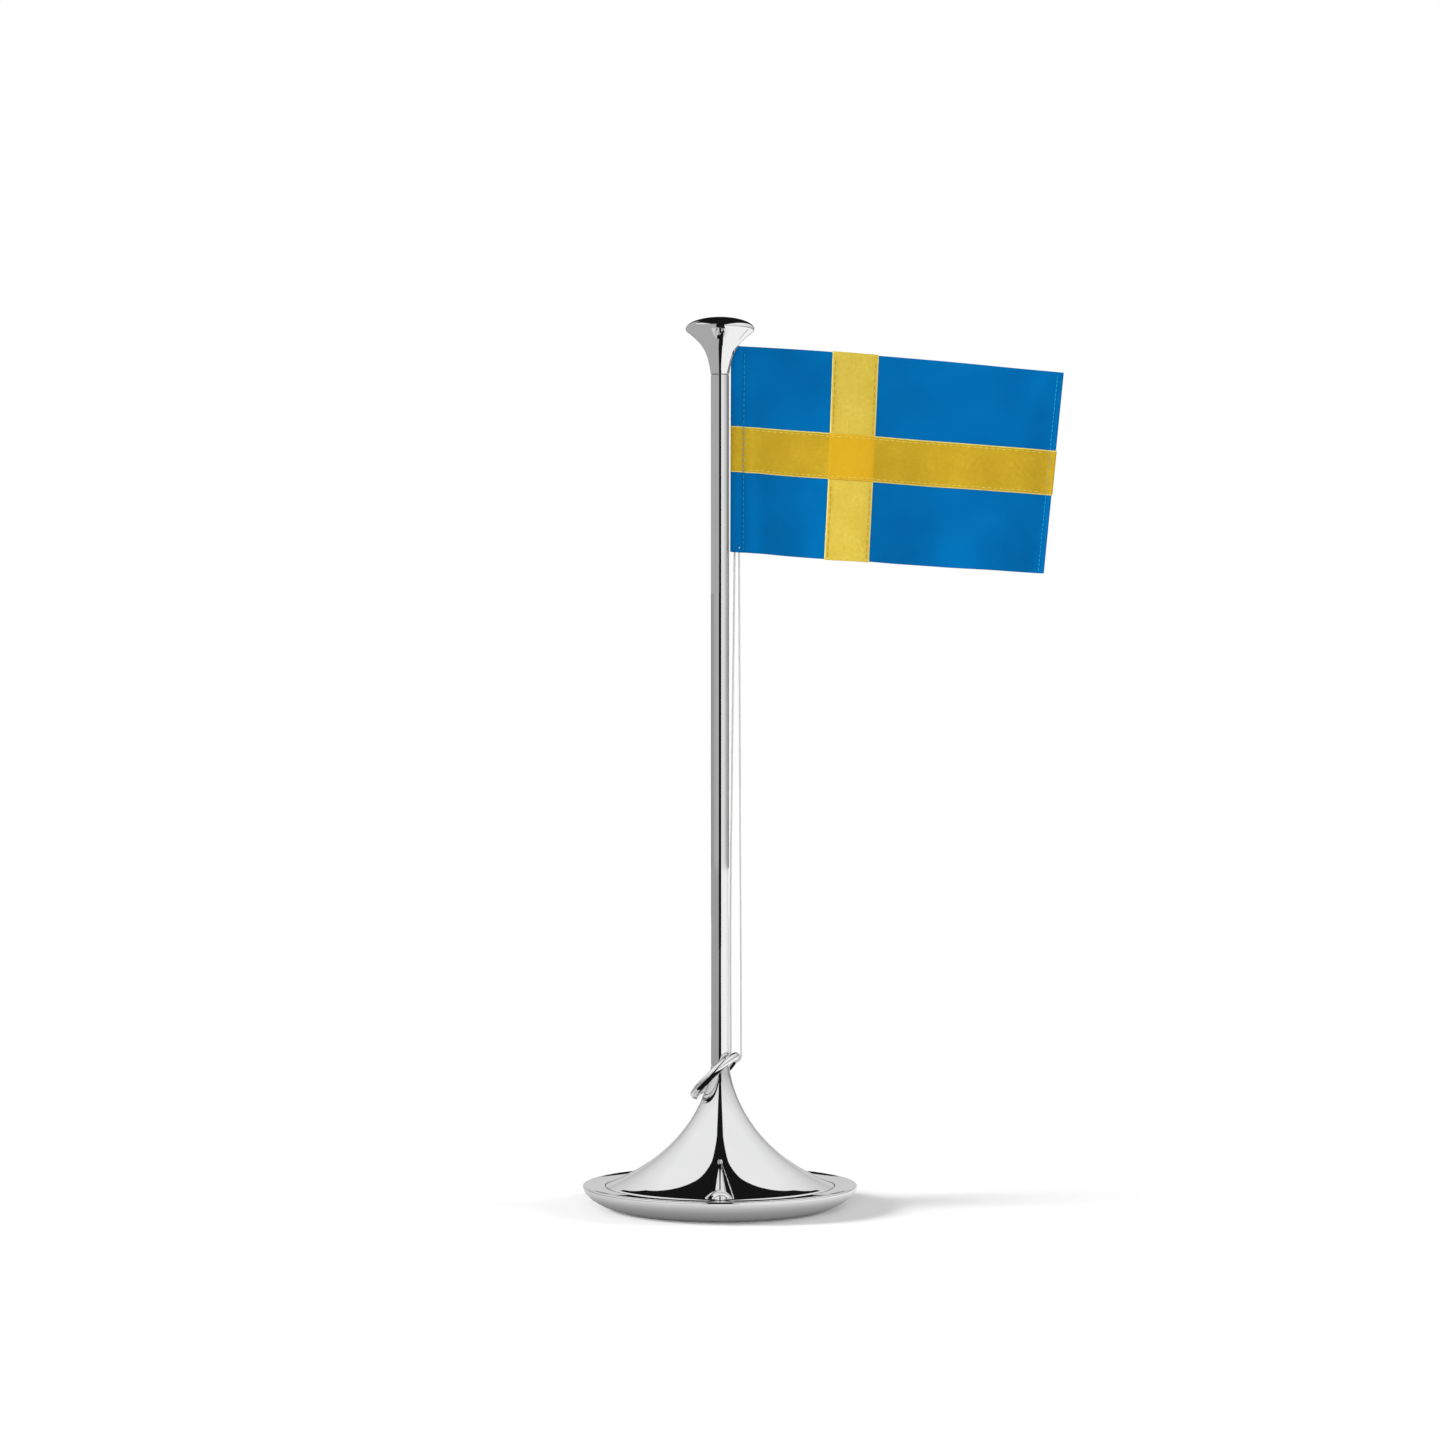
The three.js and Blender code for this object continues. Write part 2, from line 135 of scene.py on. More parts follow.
def turned(name, profile_mm, material, slot, segments=256):
    """A turned piece of the stand, with its sharp edges kept sharp."""
    return new_piece(name, *lathe_mesh(profile_mm, segments), material, "stand", slot, 35.0)


def offset_profile(profile, distance):
    """The profile moved sideways, to the right of its direction of travel."""
    points = np.array(profile)
    along = np.gradient(points, axis=0)
    along /= np.linalg.norm(along, axis=1)[:, None]
    moved = points + distance * np.column_stack([along[:, 1], -along[:, 0]])
    return [tuple(p) for p in moved]


def between(t, start, end, a, b):
    """a at start and b at end, straight between them and beyond."""
    return (end - t) / (end - start) * a + (t - start) / (end - start) * b


def smooth_route(points, spacing):
    """Evenly spaced points on a centripetal Catmull-Rom curve through the given points."""
    p = [np.array(q, float) for q in points]
    p = [2 * p[0] - p[1]] + p + [2 * p[-1] - p[-2]]
    samples = []
    for a, b, c, d in zip(p, p[1:], p[2:], p[3:]):
        t0 = 0.0
        t1 = t0 + math.sqrt(np.linalg.norm(b - a))
        t2 = t1 + math.sqrt(np.linalg.norm(c - b))
        t3 = t2 + math.sqrt(np.linalg.norm(d - c))
        count = max(4, int(np.linalg.norm(c - b) / (spacing * 0.25)))
        for t in np.linspace(t1, t2, count, endpoint=False):
            bc = between(t, t1, t2, b, c)
            abc = between(t, t0, t2, between(t, t0, t1, a, b), bc)
            bcd = between(t, t1, t3, bc, between(t, t2, t3, c, d))
            samples.append(between(t, t1, t2, abc, bcd))
    samples.append(p[-2])
    samples = np.array(samples)
    walked = np.concatenate([[0], np.cumsum(np.linalg.norm(np.diff(samples, axis=0), axis=1))])
    stations = np.linspace(0, walked[-1], max(2, int(round(walked[-1] / spacing)) + 1))
    return np.column_stack([np.interp(stations, walked, samples[:, k]) for k in range(3)])


def swept_tube(path, radius_at, sides, closed=False):
    """Vertices and faces of a tube; radius_at(distance, angle) shapes its section."""
    path = np.array(path, float)
    if closed:
        tangents = np.roll(path, -1, 0) - np.roll(path, 1, 0)
    else:
        tangents = np.gradient(path, axis=0)
    tangents /= np.linalg.norm(tangents, axis=1)[:, None]
    side = np.cross(tangents[0], [0.3, 1.0, 0.2])
    side /= np.linalg.norm(side)
    walked, vertices = 0.0, []
    for i, (point, tangent) in enumerate(zip(path, tangents)):
        side = side - tangent * side.dot(tangent)
        side /= np.linalg.norm(side)
        up = np.cross(tangent, side)
        if i:
            walked += float(np.linalg.norm(path[i] - path[i - 1]))
        for k in range(sides):
            angle = 2 * math.pi * k / sides
            radius = radius_at(walked, angle)
            vertices.append(point + radius * (math.cos(angle) * side + math.sin(angle) * up))
    rings = len(path)
    faces = []
    for i in range(rings if closed else rings - 1):
        for k in range(sides):
            j, n = (k + 1) % sides, (i + 1) % rings
            faces.append([i * sides + k, i * sides + j, n * sides + j, n * sides + k])
    if not closed:
        faces.append(list(range(sides))[::-1])
        faces.append([(rings - 1) * sides + k for k in range(sides)])
    return vertices, faces


# -------- materials

class Nodes:
    """Short hand for building one material's node tree."""

    def __init__(self, name, uniform):
        """uniform holds the shader's sockets that are the same all over the surface."""
        self.material = bpy.data.materials.new(name)
        self.material.use_nodes = True
        self.tree = self.material.node_tree
        self.shader = self.tree.nodes["Principled BSDF"]
        for socket, value in uniform.items():
            self.shader.inputs[socket].default_value = value

    def add(self, kind, links=None, **settings):
        node = self.tree.nodes.new(kind)
        for key, value in settings.items():
            if key.startswith("in_"):
                node.inputs[key[3:].replace("_", " ")].default_value = value
            else:
                setattr(node, key, value)
        for socket, source in (links or {}).items():
            self.tree.links.new(source, node.inputs[socket])
        return node

    def feed(self, socket, value):
        """Sets a socket to a number or colour, or links it to another socket."""
        if isinstance(value, bpy.types.NodeSocket):
            self.tree.links.new(value, socket)
        elif value is not None:
            socket.default_value = (*value, 1) if isinstance(value, tuple) else value

    def axes(self, point):
        return self.add("ShaderNodeSeparateXYZ", {"Vector": point}).outputs

    def object_point(self):
        return self.add("ShaderNodeTexCoord").outputs["Object"]

    def cloth_point(self):
        return self.add("ShaderNodeUVMap", uv_map="cloth").outputs["UV"]

    def noise(self, point, scale, detail=2.0, roughness=0.5):
        """Noise with scale features per metre."""
        node = self.add("ShaderNodeTexNoise", {"Vector": point}, in_Scale=scale, in_Detail=detail,
                        in_Roughness=roughness)
        return node.outputs["Fac"]

    def math(self, operation, a, b=None):
        node = self.add("ShaderNodeMath", operation=operation)
        self.feed(node.inputs[0], a)
        self.feed(node.inputs[1], b)
        return node.outputs[0]

    def blend(self, factor, low, high):
        """A value between low and high."""
        node = self.add("ShaderNodeMapRange", {"Value": factor}, in_To_Min=low, in_To_Max=high)
        return node.outputs["Result"]

    def mix(self, factor, a, b):
        """Mixes two colours, each a tuple or a socket."""
        node = self.add("ShaderNodeMix", {"Factor": factor}, data_type="RGBA")
        self.feed(node.inputs[6], a)
        self.feed(node.inputs[7], b)
        return node.outputs[2]

    def stretched(self, point, scale):
        """Noise with features per metre of their own along each axis, for threads and floats."""
        place = self.add("ShaderNodeMapping", {"Vector": point}, in_Scale=scale).outputs[0]
        return self.noise(place, 1.0, 3.0)

    def bump(self, height, distance, strength=1.0, normal=None):
        """distance is the relief's depth in metres."""
        node = self.add("ShaderNodeBump", {"Height": height}, in_Strength=strength, in_Distance=distance)
        self.feed(node.inputs["Normal"], normal)
        return node.outputs["Normal"]

    def finish(self, color=None, roughness=None, normal=None):
        self.feed(self.shader.inputs["Base Color"], color)
        self.feed(self.shader.inputs["Roughness"], roughness)
        self.feed(self.shader.inputs["Normal"], normal)
        return self.material


def srgb(red, green, blue):
    """Linear colour of an sRGB colour given from 0 to 255."""
    def channel(value):
        value /= 255
        return value / 12.92 if value <= 0.04045 else ((value + 0.055) / 1.055) ** 2.4
    return tuple(channel(v) for v in (red, green, blue))


def mirror_steel():
    """Polished stainless steel: a faint polishing swirl and slow changes of gloss."""
    nodes = Nodes("mirror_steel", {"Metallic": 1.0})
    point = nodes.object_point()
    smudge = nodes.noise(point, 55.0, 3.0)
    swirl = nodes.noise(point, 900.0, 2.0)
    tint = nodes.mix(smudge, (0.87, 0.875, 0.88), (0.93, 0.93, 0.925))
    gloss = nodes.math("ADD", nodes.blend(smudge, 0.012, 0.035), nodes.blend(swirl, 0.0, 0.012))
    return nodes.finish(tint, gloss, nodes.bump(swirl, 0.0000015, 0.3))


def turned_steel():
    """Plain machined steel for the hidden fasteners and plugs."""
    nodes = Nodes("turned_steel", {"Metallic": 1.0})
    grain = nodes.noise(nodes.object_point(), 2600.0, 4.0, 0.65)
    tint = nodes.mix(grain, (0.42, 0.43, 0.44), (0.62, 0.63, 0.64))
    return nodes.finish(tint, nodes.blend(grain, 0.25, 0.5), nodes.bump(grain, 0.00001, 0.5))


def cast_iron():
    nodes = Nodes("cast_iron", {"Metallic": 0.6})
    grain = nodes.noise(nodes.object_point(), 700.0, 8.0, 0.7)
    tint = nodes.mix(grain, (0.035, 0.035, 0.037), (0.11, 0.108, 0.105))
    return nodes.finish(tint, nodes.blend(grain, 0.55, 0.9), nodes.bump(grain, 0.0003, 0.7))


def felt():
    """Pressed wool felt: short matted fibres."""
    nodes = Nodes("felt", {"Roughness": 0.95, "Sheen Weight": 0.35, "Sheen Roughness": 0.6})
    point = nodes.object_point()
    fibres = nodes.noise(point, 1800.0, 6.0, 0.75)
    clumps = nodes.noise(point, 160.0, 4.0)
    tint = nodes.mix(nodes.math("MULTIPLY", fibres, clumps), (0.012, 0.013, 0.015), (0.075, 0.078, 0.085))
    return nodes.finish(tint, None, nodes.bump(fibres, 0.0004, 0.8))


def cord_material():
    """Bleached cord; its lay is in the mesh, the fibres are here."""
    nodes = Nodes("cord_white", {"Sheen Weight": 0.3})
    fibres = nodes.noise(nodes.object_point(), 5200.0, 4.0, 0.7)
    tint = nodes.mix(fibres, srgb(158, 158, 157), srgb(208, 208, 206))
    return nodes.finish(tint, nodes.blend(fibres, 0.7, 0.92), nodes.bump(fibres, 0.00006, 0.6))


def thread_material(name, color):
    """Twisted sewing thread."""
    nodes = Nodes(name, {"Roughness": 0.6, "Specular IOR Level": 0.1})
    twist = nodes.noise(nodes.object_point(), 7000.0, 2.0)
    shade = tuple(0.7 * c for c in color)
    return nodes.finish(nodes.mix(twist, shade, color), None, nodes.bump(twist, 0.00003, 0.5))


RIBBON_WIDTH = 20.0
EDGE_HIGHLIGHT = 0.38              # width of the pale painted highlight along each edge of the ribbon
THREADS_PER_METRE = 3400.0


def weave_height(nodes, point):
    """Over-and-under height of a plain weave, from cloth coordinates in metres."""
    axes = nodes.axes(point)
    turn = math.pi * THREADS_PER_METRE
    warp = nodes.math("SINE", nodes.math("MULTIPLY", axes["X"], turn))
    weft = nodes.math("SINE", nodes.math("MULTIPLY", axes["Y"], turn))
    return nodes.math("ADD", nodes.math("MULTIPLY", nodes.math("MULTIPLY", warp, weft), 0.5), 0.5)


def blue_cloth():
    """Fine plain-weave flag cloth with slight slubs and a soft crumple, cloudy painted shade for soft
    folds, and painted highlights on the raised threads of the weave.
    """
    nodes = Nodes("blue_cloth", {"Specular IOR Level": 0.02})
    point = nodes.cloth_point()
    weave = weave_height(nodes, point)
    slubs = nodes.stretched(point, (90, 1400, 1))
    # painted shade: cloudy lighter and darker patches of blue stand in for light on soft folds
    painted_fold_shade = nodes.noise(point, 34.0, 2.0)
    base = nodes.mix(nodes.blend(painted_fold_shade, -0.5, 1.5), srgb(0, 79, 134), srgb(0, 94, 153))
    # painted highlight: the raised threads of the weave are mixed towards a lighter blue
    threads = nodes.mix(nodes.blend(weave, 0.0, 0.28), base, srgb(0, 103, 164))
    color = nodes.mix(nodes.blend(slubs, 0.0, 0.16), threads, srgb(0, 67, 116))
    crumple = nodes.noise(point, 130.0, 3.0)
    normal = nodes.bump(crumple, 0.00035, 0.5)
    return nodes.finish(color, nodes.blend(slubs, 0.62, 0.8), nodes.bump(weave, 0.00003, 0.5, normal))


def satin_ribbon(name, dark, light, across, middle, lapped=None, lap_range=None):
    """Woven satin ribbon with crinkles and a pale painted highlight along both edges. across is the cloth
    axis over its width, and middle its centre line there, in millimetres. Where it laps the other ribbon,
    between the two distances of lap_range in metres, its colour deepens to lapped."""
    nodes = Nodes(name, {"Specular IOR Level": 0.16})
    point = nodes.cloth_point()
    floats = nodes.stretched(point, (500, 5200, 1))
    crinkle = nodes.noise(point, 300.0, 5.0, 0.62)
    mottle = nodes.math("MULTIPLY", nodes.noise(point, 85.0, 3.0), nodes.noise(point, 620.0, 3.0, 0.7))
    color = nodes.mix(nodes.blend(mottle, -0.2, 1.4), dark, light)
    color = nodes.mix(nodes.blend(floats, 0.0, 0.35), color, tuple(0.74 * c for c in dark))
    axes = nodes.axes(point)
    # painted highlight: a pale line of colour along both edges of the ribbon, where its edge catches the
    # light
    edge = nodes.math("ABSOLUTE", nodes.math("SUBTRACT", axes[across], middle * MM))
    edge_highlight = nodes.math("GREATER_THAN", edge, (RIBBON_WIDTH / 2 - EDGE_HIGHLIGHT) * MM)
    color = nodes.mix(nodes.math("MULTIPLY", edge_highlight, 0.75), color, srgb(206, 196, 120))
    if lapped:
        past_start = nodes.math("GREATER_THAN", axes["X"], lap_range[0])
        before_end = nodes.math("LESS_THAN", axes["X"], lap_range[1])
        inside = nodes.math("MULTIPLY", past_start, before_end)
        color = nodes.mix(nodes.math("MULTIPLY", inside, 0.85), color, lapped)
    normal = nodes.bump(crinkle, 0.0009, 0.55)
    return nodes.finish(color, nodes.blend(crinkle, 0.36, 0.6), nodes.bump(floats, 0.00004, 0.6, normal))


STEEL = mirror_steel()
PLAIN_STEEL = turned_steel()
IRON = cast_iron()
FELT = felt()
CORD = cord_material()
TEAL_THREAD = thread_material("teal_thread", srgb(24, 152, 190))
YELLOW_THREAD = thread_material("yellow_thread", srgb(212, 186, 80))
AMBER_THREAD = thread_material("amber_thread", srgb(186, 132, 34))


# -------- sizes in millimetres

def size_mm(node):
    """Low and high corner of a CAD node's box."""
    low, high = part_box(node)
    return [v / MM for v in low], [v / MM for v in high]


BASE_RADIUS, _, RIM_HEIGHT = size_mm("base_dish")[1]
CREASE_RADIUS, _, POLE_BOTTOM = size_mm("base_trumpet")[1]
FELT_RADIUS, _, FELT_THICKNESS = size_mm("felt_pad")[1]
POLE_RADIUS, _, POLE_HEAD = size_mm("pole_tube")[1]
POLE_FOOT = size_mm("pole_tube")[0][2]
FINIAL_FOOT = size_mm("finial")[0][2]
TOTAL_HEIGHT = size_mm("finial")[1][2]
GAP = 0.3                # between the felt and the bowl round it
SHEET = 1.2              # wall of the spun shells
POLE_BORE = 3.0
PLUG_BORE = 1.8
CREASE_HEIGHT = 10.05    # where the flare meets the lip of the bowl
FOOT_RADIUS = 43.5
DOME_HEIGHT = 5.2
FINIAL_RADIUS = 15.05
FINIAL_CURVE = ((5.4, 374.6), (6.9, 378), (14.6, 383.8))


# -------- base and pole

FLARE = bezier((POLE_RADIUS + 0.1, POLE_BOTTOM), (7, 40.6), (22.6, 20.4),
               (CREASE_RADIUS, CREASE_HEIGHT), 90)


def base_trumpet():
    """The spun flare, a shell of even thickness with a solid neck for the pole."""
    neck_bottom = 56.0
    inside = [p for p in offset_profile(FLARE, SHEET) if p[0] > POLE_BORE and p[1] < neck_bottom - 1]
    softened_edge = [(CREASE_RADIUS - 0.12, CREASE_HEIGHT + 0.03), (CREASE_RADIUS, CREASE_HEIGHT - 0.12)]
    profile = [(POLE_RADIUS - 0.1, POLE_BOTTOM)] + [(FLARE[0][0], POLE_BOTTOM - 0.15)] + FLARE[2:-1]
    profile += softened_edge + inside[::-1] + [(POLE_BORE, neck_bottom), (POLE_BORE, POLE_BOTTOM)]
    piece = turned("trumpet_shell", profile, STEEL, "mirror_steel")
    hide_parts("base_trumpet")


def base_dish():
    """The bowl the base stands on: foot, rolled rim, lip under the flare, and a pocket for the nut."""
    floor = FELT_THICKNESS + GAP
    bowl = bezier((FOOT_RADIUS, GAP), (50.5, GAP), (BASE_RADIUS, 5.5), (BASE_RADIUS, 9.7), 48)
    rim_radius, rim_foot = 0.6, 9.75
    rim = arc((BASE_RADIUS - rim_radius, rim_foot), (rim_radius, RIM_HEIGHT - rim_foot), 8, 90, 8)
    lip_inside = CREASE_RADIUS + 0.35
    lip = bezier((58.8, RIM_HEIGHT - 0.02), (56, 10.0), (53.5, 9.75),
                 (lip_inside + 0.1, CREASE_HEIGHT - 0.15), 24)
    inner_wall = bezier((57.4, 8.9), (56.6, 5.4), (52.5, 2.8), (46, floor + SHEET), 16)
    pocket_radius, pocket_roof = 7.5, 6.5
    well = FELT_RADIUS + GAP
    profile = [(PLUG_BORE, pocket_roof), (pocket_radius - 0.5, pocket_roof)]
    profile += [(pocket_radius, pocket_roof - 0.5), (pocket_radius + 0.6, floor)]
    profile += [(well, floor), (well, GAP + 0.2), (well + 0.2, GAP)]
    profile += bowl + rim + lip
    profile += [(lip_inside, CREASE_HEIGHT - 0.3), (lip_inside, CREASE_HEIGHT - SHEET)]
    profile += inner_wall
    profile += [(pocket_radius + 1.8, floor + SHEET), (pocket_radius + 1.2, pocket_roof + SHEET)]
    profile += [(PLUG_BORE, pocket_roof + SHEET)]
    piece = turned("dish_bowl", profile, STEEL, "mirror_steel")
    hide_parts("base_dish")


def felt_disc():
    """The felt pad under the bowl, with rounded edges."""
    rounding = 0.4
    edge = arc((FELT_RADIUS - rounding, rounding), (rounding, rounding), -90, 0, 5)
    edge += arc((FELT_RADIUS - rounding, FELT_THICKNESS - rounding), (rounding, rounding), 0, 90, 5)
    spokes = [(r, 0.0) for r in (0, 14, 28)]
    profile = spokes + edge + [(20, FELT_THICKNESS), (0, FELT_THICKNESS)]
    piece = turned("felt_disc", profile, FELT, "felt", 128)
    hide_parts("felt_pad")


def pole_tube():
    """The polished tube, open at both ends for its plugs."""
    chamfer = 0.12
    heights = np.linspace(POLE_FOOT + chamfer, POLE_HEAD - chamfer, 25)
    profile = [(POLE_BORE, POLE_FOOT), (POLE_RADIUS - chamfer, POLE_FOOT)]
    profile += [(POLE_RADIUS, z) for z in heights]
    profile += [(POLE_RADIUS - chamfer, POLE_HEAD), (POLE_BORE, POLE_HEAD)]
    piece = turned("pole_polished_tube", profile, STEEL, "mirror_steel", 128)
    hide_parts("pole_tube")


# -------- cord

CORD_RADIUS = 0.45
CORD_TOP = np.array([8, 0, 378.0])           # the outer run, which carries the flag
CORD_BOTTOM = np.array([9.3, 0, 68.0])
RETURN_TOP = np.array([7.1, 4.3, 378.0])     # head of the return run, beside the pole
RING_HANG = np.array([7, 0, 66.3])           # middle of the ring's wire, where the cord holds it
ARCH_LEGS_TOP = 379.9                        # the cord's arch inside the finial starts here


def arch_point(degrees):
    """The cord's arch inside the finial: 0 is the outer leg, 180 the inner leg."""
    angle = math.radians(degrees)
    middle = (CORD_TOP + RETURN_TOP) / 2
    point = middle + (CORD_TOP - middle) * math.cos(angle)
    point[2] = ARCH_LEGS_TOP + np.linalg.norm(CORD_TOP - RETURN_TOP) / 2 * math.sin(angle)
    return point


def outer_run(height):
    """The taut run in front of the pole, at a height."""
    share = (CORD_TOP[2] - height) / (CORD_TOP[2] - CORD_BOTTOM[2])
    return CORD_TOP + (CORD_BOTTOM - CORD_TOP) * share


def loop_point(degrees):
    """The cord's turn under the ring's wire: 0 is the outer side, 180 the inner side."""
    angle = math.radians(degrees)
    reach = CORD_BOTTOM[0] - RING_HANG[0]
    return RING_HANG + reach * np.array([math.cos(angle), 0, -math.sin(angle)])


HALYARD_ROUTE = (
    [arch_point(a) for a in (84, 60, 30)]
    + [outer_run(z) for z in (ARCH_LEGS_TOP, 376, 372, 340, 300, 250, 200, 150, 100, 75, 70)]
    + [loop_point(a) for a in (0, 36, 72, 108, 144, 180)]
    + [np.array(p) for p in (
        (4.7, 0.3, 70), (4.7, 1.2, 80), (4.65, 2.5, 100), (4.7, 3.4, 135), (5.4, 3.9, 200),
        (6.4, 4.2, 284), (6.9, 4.3, 350), (7.1, 4.3, 372), (7.1, 4.3, 376))]
    + [arch_point(a) for a in (180, 150, 120, 96)]
)


def laid_section(radius, strands, pitch):
    """Section of a laid cord: lobes that turn as they go along it."""
    def radius_at(distance, angle):
        lobe = abs(math.cos(strands / 2 * (angle - 2 * math.pi * distance / pitch)))
        return radius * (0.84 + 0.16 * lobe)
    return radius_at


def halyard():
    """The endless cord in three-strand lay; its ends meet out of sight inside the finial."""
    spacing, lay_pitch = 0.45 * MM, 3.4 * MM
    path = smooth_route([p * MM for p in HALYARD_ROUTE], spacing)
    tube = swept_tube(path, laid_section(CORD_RADIUS * MM, 3, lay_pitch), 18)
    piece = new_piece("halyard_cord", *tube, CORD, "stand", "cord")
    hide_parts("halyard")


def stop_knot(name, node):
    """A small overhand knot drawn tight round the cord."""
    low, high = size_mm(node)
    centre = (np.array(low) + np.array(high)) / 2
    turns = np.linspace(0, 2 * math.pi, 96, endpoint=False)
    size, cord_radius, lay_pitch = 0.27, 0.34 * MM, 2.4 * MM
    path = [centre + size * np.array([
        math.sin(t) + 2 * math.sin(2 * t),
        math.cos(t) - 2 * math.cos(2 * t),
        -1.9 * math.sin(3 * t)]) for t in turns]
    section = laid_section(cord_radius, 3, lay_pitch)
    tube = swept_tube([p * MM for p in path], section, 12, closed=True)
    piece = new_piece(name, *tube, CORD, "flag_carrier", "cord")
    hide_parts(node)


# -------- finial and ring

def finial():
    """The flared head with its low dome, drilled for the cord and for the stud."""
    flare = bezier((POLE_RADIUS + 0.05, FINIAL_FOOT + 0.1), *FINIAL_CURVE, 64)
    dome_foot = TOTAL_HEIGHT - DOME_HEIGHT
    edge = bezier((14.62, 383.82), (14.95, 384.1), (FINIAL_RADIUS, 384.4), (FINIAL_RADIUS, dome_foot), 8)
    dome = arc((0, dome_foot), (FINIAL_RADIUS, DOME_HEIGHT), 3, 88, 44)
    thread_top = 373.5
    profile = [(0, thread_top), (PLUG_BORE, thread_top), (PLUG_BORE, FINIAL_FOOT)]
    profile += [(POLE_RADIUS - 0.05, FINIAL_FOOT)] + flare + edge[1:] + dome + [(0, TOTAL_HEIGHT)]
    piece = turned("finial_polished", profile, STEEL, "mirror_steel")
    drill_cord_passage(piece)
    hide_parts("finial")


def drill_cord_passage(piece):
    """Cuts the curved hole through which the cord passes over from one run to the other."""
    below_flare, bore_radius = 372.0, 0.8
    passage = [np.array([*CORD_TOP[:2], below_flare])]
    passage += [arch_point(a) for a in (0, 30, 60, 90, 120, 150, 180)]
    passage += [np.array([*RETURN_TOP[:2], below_flare])]
    route = smooth_route([p * MM for p in passage], 0.5 * MM)
    tube = swept_tube(route, lambda distance, angle: bore_radius * MM, 24)
    cutter = bare_object("cord_passage", *tube)
    cut = piece.modifiers.new("cord_passage", "BOOLEAN")
    cut.operation = "DIFFERENCE"
    cut.solver = "EXACT"
    cut.object = cutter
    apply_modifiers(piece)
    bpy.data.objects.remove(cutter)


def apply_modifiers(piece):
    """Bakes a piece's modifiers into its mesh."""
    graph = bpy.context.evaluated_depsgraph_get()
    mesh = bpy.data.meshes.new_from_object(piece.evaluated_get(graph))
    piece.modifiers.clear()
    piece.data = mesh


def tension_ring():
    """The loose ring, hung by the cord's loop; its wire is thicker away from the cord."""
    mean_radius, thin, thick = 12.3, 1.72, 2.02
    tilt, roll = math.radians(43.5), math.radians(11)
    towards_cord = np.array([math.cos(tilt), 0, math.sin(tilt)])
    upwards = np.array([-math.sin(tilt), 0, math.cos(tilt)])
    backwards = np.array([0, math.cos(roll), 0]) - math.sin(roll) * upwards
    centre = RING_HANG - mean_radius * towards_cord
    turns = np.linspace(0, 2 * math.pi, 256, endpoint=False)
    path = [(centre + mean_radius * (math.cos(a) * towards_cord + math.sin(a) * backwards)) * MM
            for a in turns]
    around = 2 * math.pi * mean_radius * MM

    def radius_at(distance, angle):
        turn = 2 * math.pi * distance / around
        return ((thin + thick) / 2 - (thick - thin) / 2 * math.cos(turn)) * MM

    tube = swept_tube(path, radius_at, 64, closed=True)
    piece = new_piece("ring_polished", *tube, STEEL, "ring", "mirror_steel")
    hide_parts("tension_ring")


# -------- flag: the hanging cloth

FLAG_LENGTH = 144.0
FLAG_HEIGHT = 90.0
HOIST_TOP = np.array([4.8, 377.4])       # corners of the hung flag in the XZ plane
HOIST_BOTTOM = np.array([4.5, 287.3])
FLY_TOP = np.array([150.6, 365.8])
FLY_BOTTOM = np.array([141.8, 277.8])
SLEEVE = 5.5                 # width of the pressed sleeve round the cord
SLEEVE_BULGE = 1.15
FLY_HEM = 3.2
VERTICAL_RIBBON_AT = 54.0
GRID_STEP = 1.5
HEAD_BOW = 1.2               # the taut head of the flag arches a little
SHOULDER = 60.0              # above this the hoist's cloth is squeezed down to clear the finial


def hang(along, up):
    """Where a point of the flat cloth hangs, in the XZ plane."""
    hoist = HOIST_BOTTOM + (HOIST_TOP - HOIST_BOTTOM) * (up / FLAG_HEIGHT)
    fly = FLY_BOTTOM + (FLY_TOP - FLY_BOTTOM) * (up / FLAG_HEIGHT)
    place = hoist + (fly - hoist) * (along / FLAG_LENGTH)
    bow = HEAD_BOW * math.sin(math.pi * min(1.0, max(0.0, along / FLAG_LENGTH)) ** 0.75)
    return place + np.array([0, bow * (up / FLAG_HEIGHT) ** 2 if up > 0 else 0.0])


def first_wave(along, up):
    """Gentle folds that deepen towards the slack foot of the flag."""
    slack = 1 - up / FLAG_HEIGHT
    off_hoist = min(1.0, max(0.0, (along - SLEEVE - 2) / 25))
    off_fly = 0.25 + 0.75 * min(1.0, (FLAG_LENGTH - along) / 20)
    depth = 0.5 + 2.6 * slack ** 1.3
    wave_length, wave_start, lean = 62, 20, 0.35
    turn = 2 * math.pi * (along - wave_start + lean * up) / wave_length
    return off_hoist * off_fly * depth * math.sin(turn)


def settled_cloth():
    """The flag's middle surface as a grid of points in millimetres, after a cloth simulation."""
    columns = int(FLAG_LENGTH / GRID_STEP) + 1
    rows = int(FLAG_HEIGHT / GRID_STEP) + 1
    flat, hung_points = [], []
    for i in range(columns):
        for j in range(rows):
            along, up = i * GRID_STEP, j * GRID_STEP
            x, z = hang(along, up)
            hung_points.append((x, first_wave(along, up), z))
            flat.append((HOIST_BOTTOM[0] + along, 0.0, HOIST_BOTTOM[1] + up))
    hung_points = simulate_cloth(flat, hung_points, columns, rows)
    return np.array(hung_points).reshape(columns, rows, 3)


